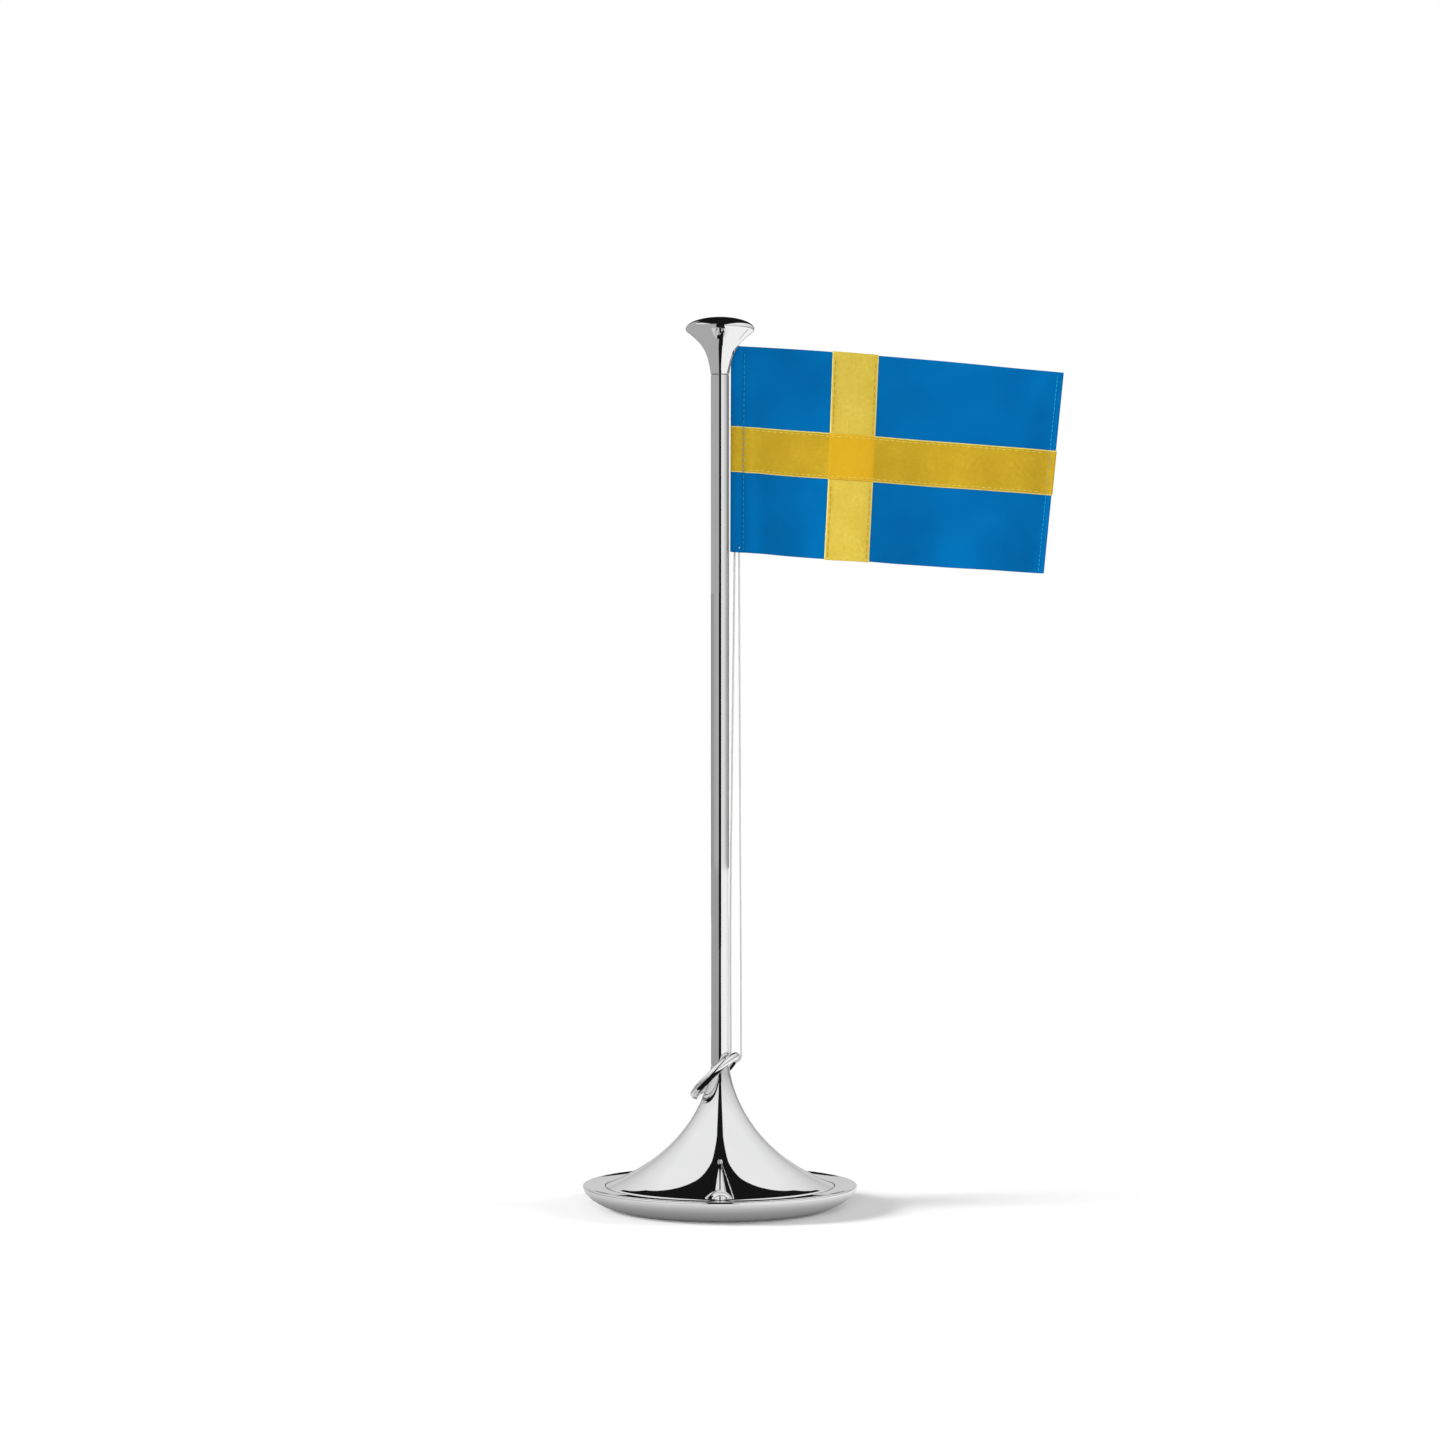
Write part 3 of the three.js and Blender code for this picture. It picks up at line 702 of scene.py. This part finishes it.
def simulate_cloth(flat, start, columns, rows):
    """Lets the cloth relax between its hoist and its fly edge under its own weight."""
    frames = 30
    scale = 10.0     # the solver works better on a larger cloth
    points = [[scale * MM * c for c in p] for p in flat]
    cloth = bare_object("cloth_solver", points, grid_faces(columns, rows))
    cloth.shape_key_add(name="flat")
    hung_key = cloth.shape_key_add(name="hung")
    for point, place in zip(hung_key.data, start):
        point.co = [scale * MM * c for c in place]
    hung_key.value = 1.0
    pins = cloth.vertex_groups.new(name="pins")
    for i in range(columns):
        along = i * GRID_STEP
        hoist_hold = 1.0 if along <= SLEEVE + 1.5 else 0.0
        for j in range(rows):
            fly_hold = 1.0 if i == columns - 1 else 0.0
            head_hold = 0.6 if j == rows - 1 else 0.0
            hold = max(hoist_hold, fly_hold, head_hold)
            if hold:
                pins.add([i * rows + j], hold, "REPLACE")
    modifier = cloth.modifiers.new("cloth", "CLOTH")
    settings = modifier.settings
    settings.quality = 8
    settings.mass = 0.15
    settings.tension_stiffness = 25
    settings.compression_stiffness = 25
    settings.shear_stiffness = 8
    settings.bending_stiffness = 0.8
    settings.air_damping = 2.0
    settings.vertex_group_mass = "pins"
    settings.rest_shape_key = cloth.data.shape_keys.key_blocks["flat"]
    settings.effector_weights.gravity = 0.15
    modifier.collision_settings.use_collision = False
    scene = bpy.context.scene
    for step in range(1, frames + 1):
        scene.frame_set(step)
    graph = bpy.context.evaluated_depsgraph_get()
    settled = cloth.evaluated_get(graph).to_mesh()
    points = [tuple(c / (scale * MM) for c in v.co) for v in settled.vertices]
    cloth.evaluated_get(graph).to_mesh_clear()
    bpy.data.objects.remove(cloth)
    scene.frame_set(1)
    return points


class Cloth:
    """The settled middle surface, read at any cloth coordinate, with its front-facing normal."""

    def __init__(self, grid):
        self.grid = grid
        along = np.gradient(grid, axis=0)
        up = np.gradient(grid, axis=1)
        normal = np.cross(along, up)
        normal /= np.linalg.norm(normal, axis=2)[:, :, None]
        self.normal = normal * (1 if normal[..., 1].mean() < 0 else -1)

    def read(self, table, along, up):
        """Value of a grid table, bilinear between its points."""
        i = min(max(int(along / GRID_STEP), 0), table.shape[0] - 2)
        j = min(max(int(up / GRID_STEP), 0), table.shape[1] - 2)
        a, b = along / GRID_STEP - i, up / GRID_STEP - j
        near = table[i, j] * (1 - b) + table[i, j + 1] * b
        far = table[i + 1, j] * (1 - b) + table[i + 1, j + 1] * b
        return near * (1 - a) + far * a

    def point(self, along, up, offset):
        """Place of a cloth coordinate, moved towards the front by offset; all in millimetres."""
        inside_along = min(max(along, 0.0), FLAG_LENGTH)
        inside_up = min(max(up, 0.0), FLAG_HEIGHT)
        normal = self.read(self.normal, inside_along, inside_up)
        return self.read(self.grid, along, up) + normal * offset


def flank_limit(x):
    """Height below which the cloth clears the finial's flank, at a distance from the pole's axis."""
    clearance = 0.45
    flank = bezier((POLE_RADIUS + 0.05, FINIAL_FOOT), *FINIAL_CURVE, 40)
    return float(np.interp(x, [p[0] for p in flank], [p[1] for p in flank])) - clearance


def head_limit(along):
    """Highest cloth coordinate that fits under the finial."""
    x, top = hang(along, FLAG_HEIGHT)
    return FLAG_HEIGHT - max(0.0, top - flank_limit(x + 0.15))


def mouth(up, top):
    """How far the sleeve stands open: it is pressed flat at its very ends."""
    return min(1.0, 0.45 + (top - up) / 5, 0.8 + up / 5)


LAYER = 0.2                  # spacing of two sewn layers
CLOTH_THICKNESS = 0.12
RIBBON_THICKNESS = 0.1
FRONT_LIFT = 0.15            # how far the ribbons stand off the cloth's middle surface
BACK_LIFT = 0.05
RIBBON_END = 0.35            # the ribbons reach this far past the cloth's edges


def round_sleeve(fullness):
    """Stations of a strip that goes round the hoist sleeve, from its front to its back."""
    around = np.radians(np.linspace(4, 176, 19))
    front = [(SLEEVE / 2 * (1 + math.cos(a)), 0.0, fullness * math.sin(a)) for a in around]
    back = [(SLEEVE / 2 * (1 - math.cos(a)), -LAYER * a / math.pi, -fullness * math.sin(a))
            for a in around]
    return front + back


def field_stations():
    """(along, offset, sleeve share) of the cloth from its fly hem round the sleeve to the seam."""
    fold = FLAG_LENGTH - 0.25
    stations = [(a, -LAYER, 0.0) for a in np.linspace(FLAG_LENGTH - FLY_HEM, fold, 5)]
    stations += [(FLAG_LENGTH, -LAYER / 2, 0.0)]
    stations += [(a, 0.0, 0.0) for a in np.linspace(fold, SLEEVE + 0.6, 185)]
    stations += round_sleeve(1.0)
    stations += [(a, -LAYER, 0.0) for a in np.linspace(SLEEVE + 0.6, SLEEVE + 2.0, 3)]
    return stations


def strip_mesh(cloth, stations, ups, lift=0.0, pucker_depth=0.0):
    """Vertices, faces and cloth coordinates of a strip of cloth laid over the middle surface."""
    pucker_size = 3.1
    vertices, coordinates = [], []
    walked = 0.0
    for i, (along, offset, share) in enumerate(stations):
        if i:
            before = stations[i - 1]
            walked += math.hypot(along - before[0], SLEEVE_BULGE * (share - before[2]))
        side = -1.0 if offset < -LAYER * 0.49 or share < 0 else 1.0
        top = head_limit(along)
        squeeze = (top - SHOULDER) / (FLAG_HEIGHT - SHOULDER)
        for up in ups:
            height = min(up, SHOULDER + (up - SHOULDER) * squeeze)
            seed = Vector((along / pucker_size, up / pucker_size, 7.0 * side + lift))
            pucker = pucker_depth * (0.5 + 0.5 * noise.noise(seed))
            out = share * SLEEVE_BULGE * mouth(height, top)
            vertices.append(cloth.point(along, height, offset + out + side * (lift + pucker)) * MM)
            coordinates.append((walked * MM, height * MM))
    return vertices, grid_faces(len(stations), len(ups)), coordinates


def cloth_piece(name, node, strip, material, slot, thickness):
    """A strip of cloth given its thickness. The photo's steel mirrors no flag, so none is mirrored."""
    vertices, faces, coordinates = strip
    piece = new_piece(name, vertices, faces, material, "flag", slot)
    layer = piece.data.uv_layers.new(name="cloth")
    for loop in piece.data.loops:
        layer.data[loop.index].uv = coordinates[loop.vertex_index]
    solid = piece.modifiers.new("thickness", "SOLIDIFY")
    solid.thickness = thickness * MM
    solid.offset = 0
    apply_modifiers(piece)
    piece.visible_glossy = False
    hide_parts(node)


def flag_field(cloth):
    """The blue cloth, with its fly hem and its hoist sleeve."""
    ups = np.linspace(0, FLAG_HEIGHT, 121)
    strip = strip_mesh(cloth, field_stations(), ups)
    cloth_piece("flag_cloth", "flag_field", strip, blue_cloth(), "blue_cloth", CLOTH_THICKNESS)


def crossing_lift(along):
    """Extra height of the long ribbon where it lies over the upright one."""
    into_lap = RIBBON_WIDTH / 2 + 0.5 - abs(along - VERTICAL_RIBBON_AT)
    return (LAYER - 0.02) * min(1.0, max(0.0, into_lap))


def long_ribbon(cloth, side):
    """The ribbon from hoist to fly; the front one turns round the sleeve to the seam."""
    half = RIBBON_WIDTH / 2
    middle = FLAG_HEIGHT / 2
    ups = np.linspace(middle - half, middle + half, 41)
    fly = FLAG_LENGTH + RIBBON_END
    if side > 0:
        name, node, lift = "ribbon_long_front", "ribbon_horizontal_front", FRONT_LIFT
        stations = [(a, crossing_lift(a), 0.0) for a in np.linspace(fly, SLEEVE + 0.6, 240)]
        stations += round_sleeve(1.13)
        stations += [(SLEEVE + 0.4, -LAYER, 0.0), (SLEEVE + 1.95, -LAYER, 0.0)]
    else:
        name, node, lift = "ribbon_long_back", "ribbon_horizontal_back", BACK_LIFT
        hem_start, hem_ramp = FLAG_LENGTH - 3.6, 0.6
        stations = [
            (a, -0.1 - crossing_lift(a) - LAYER * min(1.0, max(0.0, (a - hem_start) / hem_ramp)), 0.0)
            for a in np.linspace(SLEEVE + 2.05, fly, 230)]
    strip = strip_mesh(cloth, stations, ups, lift, 0.08)
    lap = (VERTICAL_RIBBON_AT - half, VERTICAL_RIBBON_AT + half)
    start = stations[0][0]
    lap_range = sorted(abs(start - a) * MM for a in lap)
    # darker than the upright ribbon's colours: the same satin, darkened as painted shade because its sheen
    # runs the other way
    material = satin_ribbon("satin_" + name, srgb(164, 133, 18), srgb(194, 165, 37), "Y", middle,
                            srgb(187, 145, 15), lap_range)
    cloth_piece(name, node, strip, material, "yellow_ribbon", RIBBON_THICKNESS)


def upright_ribbon(cloth, side):
    """The ribbon from foot to head, under the long one."""
    half = RIBBON_WIDTH / 2
    if side > 0:
        name, node, lift, offset = "ribbon_upright_front", "ribbon_vertical_front", FRONT_LIFT, 0.0
    else:
        name, node, lift, offset = "ribbon_upright_back", "ribbon_vertical_back", BACK_LIFT, -0.1
    ups = np.linspace(-RIBBON_END, FLAG_HEIGHT + RIBBON_END, 181)
    stations = [(a, offset, 0.0)
                for a in np.linspace(VERTICAL_RIBBON_AT - half, VERTICAL_RIBBON_AT + half, 41)]
    strip = strip_mesh(cloth, stations, ups, lift, 0.05)
    # lighter than the long ribbon's colours: the same satin, lightened as painted sheen because its floats
    # face the light
    material = satin_ribbon("satin_" + name, srgb(180, 156, 51), srgb(209, 188, 87), "X", half)
    cloth_piece(name, node, strip, material, "yellow_ribbon", RIBBON_THICKNESS)


# -------- flag: stitching

THREAD_RADIUS = 0.16
STITCH_SHARE = 0.66          # part of each pitch that the thread lies on top


def seam(cloth, name, line, length, pitch, material, slot, height):
    """One row of stitches. line(distance) gives (along, up, offset); height is how far they stand up."""
    vertices, faces = [], []
    radius = THREAD_RADIUS * MM
    stitch = STITCH_SHARE * pitch
    for k in range(int(length / pitch)):
        start = (k + 0.15) * pitch
        path = []
        for share in (0.0, 0.12, 0.5, 0.88, 1.0):
            along, up, offset = line(start + share * stitch)
            rise = height * (1.0 if 0.05 < share < 0.95 else -1.2)
            path.append(cloth.point(along, up, offset + math.copysign(1.0, offset) * rise) * MM)
        part, part_faces = swept_tube(path, lambda distance, angle: radius, 6)
        faces += [[len(vertices) + index for index in face] for face in part_faces]
        vertices += part
    piece = new_piece(name, vertices, faces, material, "flag", slot)
    piece.visible_glossy = False


def stitching(cloth):
    """Every row of stitches on both faces of the flag."""
    half = RIBBON_WIDTH / 2
    inset, end_gap, long_start = 1.3, 0.8, 8.2
    for side, side_name in ((1, "front"), (-1, "back")):
        face = CLOTH_THICKNESS / 2 * side - (LAYER if side < 0 else 0)
        over_ribbon = 0.06 if side < 0 else 0.28
        for edge_name, along, top, pitch, height in (
                ("hoist", SLEEVE + 0.35, head_limit(SLEEVE), 2.4, over_ribbon),
                ("fly", FLAG_LENGTH - 2.5, FLAG_HEIGHT, 2.0, 0.06)):
            seam(cloth, f"{edge_name}_seam_{side_name}", lambda s: (along, end_gap + s, face),
                 top - 2 * end_gap, pitch, TEAL_THREAD, "blue_cloth", height)
        ribbon_face = (FRONT_LIFT + 0.11) * side
        for edge, edge_name in ((-1, "lower"), (1, "upper")):
            up = FLAG_HEIGHT / 2 + edge * (half - inset)
            seam(cloth, f"long_seam_{edge_name}_{side_name}",
                 lambda s: (long_start + s, up, ribbon_face + side * crossing_lift(long_start + s)),
                 FLAG_LENGTH - 12.5, 2.6, YELLOW_THREAD, "yellow_ribbon", 0.06)
        for edge, edge_name in ((-1, "hoist"), (1, "fly")):
            along = VERTICAL_RIBBON_AT + edge * (half - inset)
            for part, low, high in (("foot", 0.5, FLAG_HEIGHT / 2 - half - 0.3),
                                    ("head", FLAG_HEIGHT / 2 + half + 0.3, FLAG_HEIGHT - 0.5)):
                seam(cloth, f"upright_seam_{edge_name}_{part}_{side_name}",
                     lambda s: (along, low + s, ribbon_face), high - low, 3.2,
                     AMBER_THREAD, "yellow_ribbon", 0.05)


# -------- stage

BACKDROP_RADIUS = 9.0
FLOOR_CORNERS = [(x * BACKDROP_RADIUS, y * BACKDROP_RADIUS, 0)
                 for x, y in ((-1, -1), (1, -1), (1, 1), (-1, 1))]
SKY_RADIUS = 8.0
SKY_HEIGHT = 8.0
BAND_RADIUS = 3.5
GAP_GREY = 0.008
WORLD_LIGHT = 0.36
SUN_ANGLE = math.radians(24)


class Glow(Nodes):
    """An emission material, for cards that light or darken the reflections."""

    def __init__(self, name, strength=1.0):
        super().__init__(name, {})
        self.tree.nodes.clear()
        self.light = self.add("ShaderNodeEmission", in_Color=(1, 1, 1, 1), in_Strength=strength)
        self.output = self.add("ShaderNodeOutputMaterial", {"Surface": self.light.outputs[0]})

    def color(self, source):
        self.feed(self.light.inputs["Color"], source)

    def one_sided(self):
        """Lets rays that come from behind the card pass through it."""
        behind = self.add("ShaderNodeNewGeometry").outputs["Backfacing"]
        clear = self.add("ShaderNodeBsdfTransparent").outputs[0]
        pick = self.add("ShaderNodeMixShader", {0: behind, 1: self.light.outputs[0], 2: clear})
        self.feed(self.output.inputs["Surface"], pick.outputs[0])

    def share(self, source, start, end):
        """0 where the source is at start, 1 where it is at end."""
        node = self.add("ShaderNodeMapRange", {"Value": source}, in_From_Min=start, in_From_Max=end)
        return node.outputs["Result"]

    def ramp(self, source, stops):
        """A grey ramp; stops are (position, grey) pairs."""
        node = self.add("ShaderNodeValToRGB", {"Fac": source})
        elements = node.color_ramp.elements
        while len(elements) < len(stops):
            elements.new(0.5)
        for element, (position, grey) in zip(elements, stops):
            element.position = position
            element.color = (grey, grey, grey, 1)
        return node.outputs["Color"]


def stage_mesh(vertices, faces, nodes, seen_by_camera=False):
    """A stage piece, named after its material, that lights nothing. Polished steel sees it."""
    piece = bare_object(nodes.material.name, vertices, faces, nodes.material)
    piece.visible_camera = seen_by_camera
    piece.visible_diffuse = False
    piece.visible_shadow = False
    piece.visible_transmission = False
    return piece


def card(corners, nodes):
    """A flat stage piece."""
    stage_mesh(corners, [list(range(len(corners)))], nodes)


def upright(name, y, outline, strength):
    """A card that stands across the set at y; outline is in the XZ plane."""
    card([(x, y, z) for x, z in outline], Glow(name, strength))


def ring_wall(radius, low, high, roof=False, ground=False):
    """Vertices and faces of an upright cylinder wall, and of its roof and ground if wanted."""
    segments = 96
    turns = np.linspace(0, 2 * math.pi, segments, endpoint=False)
    vertices = [(radius * math.sin(a), radius * math.cos(a), z) for z in (low, high) for a in turns]
    faces = [[i, (i + 1) % segments, segments + (i + 1) % segments, segments + i] for i in range(segments)]
    if roof:
        faces.append(list(range(segments, 2 * segments)))
    if ground:
        faces.append(list(range(segments)))
    return vertices, faces


def backdrop():
    """An even white surround that only the camera sees."""
    room = ring_wall(BACKDROP_RADIUS, -4.0, 9.0, roof=True, ground=True)
    stage_mesh(*room, Glow("backdrop"), seen_by_camera=True).visible_glossy = False


def reflected_sky():
    """The light tent that the steel sees: white overhead, greyer towards the horizon."""
    greys = ((0, 0.43), (0.17, 0.49), (0.36, 0.64), (0.6, 0.78), (1, 0.88))
    nodes = Glow("reflected_sky")
    axes = nodes.axes(nodes.object_point())
    nodes.color(nodes.ramp(nodes.share(axes["Z"], 0.0, SKY_HEIGHT), greys))
    stage_mesh(*ring_wall(SKY_RADIUS, -0.5, SKY_HEIGHT, roof=True), nodes)


def shade_beside_finial():
    """Grey side wall of the tent, close by the finial, on the left; it leans outwards towards its top."""
    turns = np.radians(np.linspace(-168, -25, 24))
    vertices = [(radius * math.sin(a), radius * math.cos(a), height)
                for radius, height in ((0.03, 0.27), (0.09, 0.47)) for a in turns]
    count = len(turns)
    faces = [[i, i + 1, count + i + 1, count + i] for i in range(count - 1)]
    nodes = Glow("shade_beside_finial", 0.42)
    nodes.one_sided()
    stage_mesh(vertices, faces, nodes)


def horizon_band():
    """A low grey wall round the set: dim behind and on the left, light on the right."""
    greys = ((-180, 0.47), (-150, 0.46), (-110, 0.41), (-90, 0.35), (-46, 0.32), (-15, 0.2), (15, 0.18),
             (40, 0.24), (62, 0.28), (85, 0.4), (100, 0.54), (115, 0.66), (130, 0.76), (145, 0.82),
             (180, 0.84))     # bearing in degrees, 0 straight behind the stand, and grey
    nodes = Glow("horizon_band")
    axes = nodes.axes(nodes.object_point())
    bearing = nodes.math("ARCTAN2", axes["X"], axes["Y"])
    stops = [((degrees + 180) / 360, grey) for degrees, grey in greys]
    nodes.color(nodes.ramp(nodes.share(bearing, -math.pi, math.pi), stops))
    stage_mesh(*ring_wall(BAND_RADIUS, -0.3, 0.72), nodes)


def mirrored_floor():
    """What the steel sees of the table: dim under the base's edge and on the left."""
    nodes = Glow("mirrored_floor")
    place = nodes.object_point()
    across = nodes.share(nodes.axes(place)["X"], -0.30, 0.10)
    sides = nodes.ramp(across, ((0, 0.36), (0.35, 0.42), (0.6, 0.82), (1, 0.95)))
    distance = nodes.add("ShaderNodeVectorMath", {0: place}, operation="LENGTH").outputs["Value"]
    outward = nodes.share(distance, 0.04, 0.14)
    nearness = nodes.ramp(outward, ((0, 0.03), (0.15, 0.36), (0.25, 0.7), (0.42, 0.9), (1, 1)))
    product = nodes.add("ShaderNodeMix", {6: sides, 7: nearness}, data_type="RGBA",
                        blend_type="MULTIPLY", in_Factor=1.0)
    nodes.color(product.outputs[2])
    card(FLOOR_CORNERS, nodes)


def dark_gap():
    """The unlit gap between the two side lights: overhead, behind the camera and along the table."""
    def strip(name, height, half_widths):
        """A level strip; half_widths are (y, half the width there) pairs."""
        outline = [(-w, y, height) for y, w in half_widths] + [(w, y, height) for y, w in half_widths[::-1]]
        card(outline, Glow(name, GAP_GREY))

    strip("gap_overhead", 0.48, (
        (-1.6, 0.34), (-1.05, 0.21), (-0.17, 0.052), (0.01, 0.061), (0.154, 0.093), (0.56, 0.225),
        (0.92, 0.285), (1.36, 0.335), (1.9, 0.39)))
    strip("gap_on_table", 0.001, ((-1.7, 0.40), (-0.8, 0.23), (-0.16, 0.08)))
    upright("gap_behind_camera", -1.7, ((-0.52, -0.4), (0.52, -0.4), (0.44, 0.8), (-0.44, 0.8)), GAP_GREY)


def shade_under_ring():
    """A dark card round the flare's front, seen only from above: by the tension ring and the finial."""
    nodes = Glow("shade_under_ring", GAP_GREY)
    nodes.one_sided()
    outline = ((-0.1, -0.2), (0.1, -0.2), (0.045, -0.012), (0.045, 0.03), (-0.01, 0.03), (-0.01, -0.012),
               (-0.042, -0.012))
    card([(x, y, 0.036) for x, y in outline], nodes)


def floor():
    """White paper that takes the shadow. The steel sees mirrored_floor in its place."""
    paper = Nodes("floor_paper", {"Roughness": 1.0, "Specular IOR Level": 0.0})
    piece = bare_object("floor", FLOOR_CORNERS, [[0, 1, 2, 3]], paper.finish((0.97, 0.97, 0.97)))
    piece.visible_glossy = False


def lights():
    """An even white world and three wide suns, a strong one from the left."""
    world = bpy.data.worlds.new("studio")
    world.use_nodes = True
    background = world.node_tree.nodes["Background"]
    background.inputs["Color"].default_value = (1, 1, 1, 1)
    background.inputs["Strength"].default_value = WORLD_LIGHT
    bpy.context.scene.world = world
    for name, energy, direction in (("key_from_left", 4.1, (0.90, 0.20, -0.38)),
                                    ("fill_from_right", 1.1, (-0.92, 0.1, -0.38)),
                                    ("fill_from_front", 1.8, (0, 0.98, -0.2))):
        data = bpy.data.lights.new(name, "SUN")
        data.energy = energy
        data.angle = SUN_ANGLE
        light = bpy.data.objects.new(name, data)
        light.rotation_euler = Vector(direction).to_track_quat("-Z", "Y").to_euler()
        light.visible_glossy = False
        bpy.context.scene.collection.objects.link(light)


def studio():
    """Floor, backdrop, everything the steel mirrors, and the lights."""
    floor()
    backdrop()
    reflected_sky()
    shade_beside_finial()
    horizon_band()
    mirrored_floor()
    dark_gap()
    shade_under_ring()
    upright("glow_behind_base", 0.4, ((-0.35, 0.03), (0.35, 0.03), (0.35, 0.1), (-0.35, 0.1)), 0.62)
    lights()


def hidden_parts():
    """Better surfaces for the CAD pieces that stay as they are."""
    for name in ("flat_washer", "spring_washer", "clamp_nut", "tie_rod", "pole_foot_plug", "pole_head_plug",
                 "finial_stud"):
        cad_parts[name].data.materials[0] = PLAIN_STEEL
    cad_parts["ballast_weight"].data.materials[0] = IRON


halyard()
base_trumpet()
base_dish()
felt_disc()
pole_tube()
finial()
tension_ring()
stop_knot("knot_above_flag", "upper_stop_knot")
stop_knot("knot_below_flag", "lower_stop_knot")
hidden_parts()
cloth = Cloth(settled_cloth())
flag_field(cloth)
upright_ribbon(cloth, 1)
upright_ribbon(cloth, -1)
long_ribbon(cloth, 1)
long_ribbon(cloth, -1)
stitching(cloth)
studio()

bpy.context.scene.view_settings.view_transform = "Standard"
